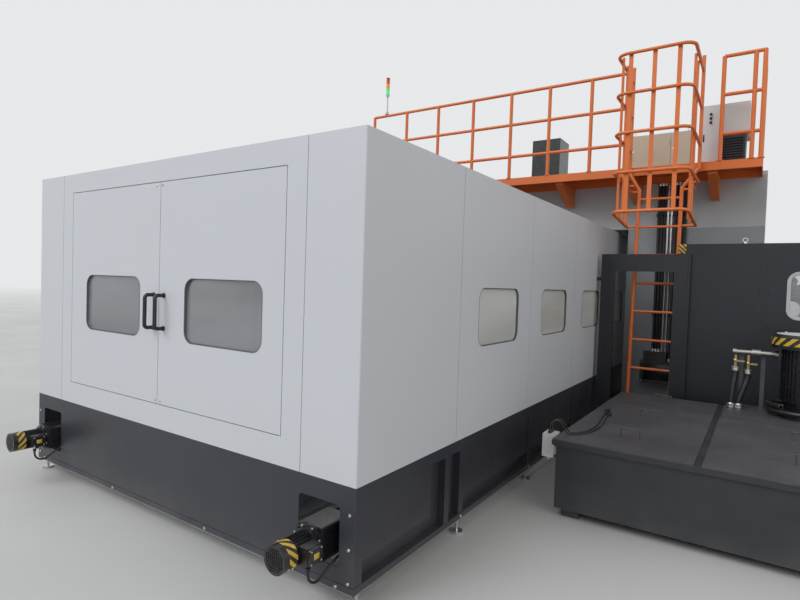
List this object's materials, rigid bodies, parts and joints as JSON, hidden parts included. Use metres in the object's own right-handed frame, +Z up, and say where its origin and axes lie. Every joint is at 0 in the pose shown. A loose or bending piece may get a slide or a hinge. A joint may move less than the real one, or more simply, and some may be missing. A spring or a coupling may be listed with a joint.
{
  "type": "cnc machining center",
  "caption": "Double-column machining centre in a long white enclosure with double end doors, chip conveyors, caged ladder, walkway, tool magazine and coolant tank.",
  "frame": {"origin": "middle of the bed's underside, on the floor", "axes": "+Z up, +Y along the table's travel from the door end into the machine, +X to the right as seen from the door end"},
  "size_m": [7.695, 13.291, 4.6426],
  "materials": {
    "white_panel": "satin",
    "window": "clear",
    "skirt_grey": "satin",
    "steel": "machined",
    "cast_grey": "painted",
    "table_iron": "ground",
    "black_enamel": "gloss",
    "black_handle": "matte",
    "black_rubber": "matte",
    "bridge_grey": "satin",
    "orange": "gloss",
    "beige": "satin",
    "cabinet_white": "satin",
    "chiller_black": "satin",
    "lamp_red": "glossy",
    "lamp_amber": "glossy",
    "lamp_green": "glossy",
    "gate_dark": "satin",
    "tank_dark": "satin",
    "manifold_brass": "dull"
  },
  "bodies": {
    "machine": {"bed": "cast_grey", "table_guides": "steel", "table_screw": "steel", "conveyor_troughs": "cast_grey", "gearmotors": "black_enamel", "fan_covers": "black_enamel", "motor_cables": "black_rubber", "skirt_frame": "skirt_grey", "end_skirts": "skirt_grey", "side_skirt_panels": "skirt_grey", "levelling_feet": "steel", "skirt_screws": "steel", "corner_panels": "white_panel", "front_surround": "white_panel", "rear_wall": "white_panel", "wall_panels": "white_panel", "wall_windows": "window", "enclosure_frame": "white_panel", "columns": "cast_grey", "crossbeam": "bridge_grey", "crossbeam_guides": "steel", "platform": "orange", "platform_brackets": "orange", "railing": "orange", "ladder": "orange", "ladder_cage": "orange", "hose_bundle": "black_rubber", "conduits": "steel", "control_cabinet": "beige", "drive_cabinet": "cabinet_white", "chiller": "chiller_black", "chiller_box": "cabinet_white", "lamp_pole": "cabinet_white", "lamp_red": "lamp_red", "lamp_amber": "lamp_amber", "lamp_green": "lamp_green", "magazine_housing": "gate_dark", "magazine_window": "gate_dark", "magazine_pane": "window", "gate_frame": "gate_dark", "coolant_tank": "tank_dark", "tank_lids": "tank_dark", "coolant_pump": "black_enamel", "manifold": "steel", "manifold_valves": "manifold_brass", "float_box": "cabinet_white", "coolant_hoses": "black_rubber"},
    "table": {"table": "table_iron"},
    "auger_right": {"auger_right": "steel"},
    "auger_left": {"auger_left": "steel"},
    "right_door": {"door_right": "white_panel", "door_window_right": "window", "handle_right": "black_handle"},
    "left_door": {"door_left": "white_panel", "door_window_left": "window", "handle_left": "black_handle"},
    "saddle": {"saddle": "bridge_grey"},
    "ram": {"ram": "black_enamel"},
    "spindle": {"spindle": "steel"},
    "magazine_disc": {"tool_magazine": "steel"}
  },
  "joints": [
    {"name": "table_travel", "type": "slide", "parent": "machine", "child": "table", "axis": [0, 1, 0], "range_m": [-3, 3]},
    {"name": "saddle_travel", "type": "slide", "parent": "machine", "child": "saddle", "axis": [1, 0, 0], "range_m": [-0.95, 0.95]},
    {"name": "ram_travel", "type": "slide", "parent": "saddle", "child": "ram", "axis": [0, 0, 1], "range_m": [-0.65, 0.25]},
    {"name": "spindle_spin", "type": "hinge", "parent": "ram", "child": "spindle", "pos_m": [0, 0.832, 1.7], "axis": [0, 0, 1], "continuous": true},
    {"name": "auger_right_spin", "type": "hinge", "parent": "machine", "child": "auger_right", "pos_m": [1.402, 0, 0.318], "axis": [0, 1, 0], "continuous": true},
    {"name": "auger_left_spin", "type": "hinge", "parent": "machine", "child": "auger_left", "pos_m": [-1.402, 0, 0.318], "axis": [0, 1, 0], "continuous": true},
    {"name": "right_door_hinge", "type": "hinge", "parent": "machine", "child": "right_door", "pos_m": [1.108, -6.49, 1.48], "axis": [0, 0, 1], "range_deg": [0, 100]},
    {"name": "left_door_hinge", "type": "hinge", "parent": "machine", "child": "left_door", "pos_m": [-1.108, -6.49, 1.48], "axis": [0, 0, -1], "range_deg": [0, 100]},
    {"name": "magazine_spin", "type": "hinge", "parent": "machine", "child": "magazine_disc", "pos_m": [3.56, -1.85, 1.23], "axis": [0, 1, 0], "continuous": true}
  ]
}
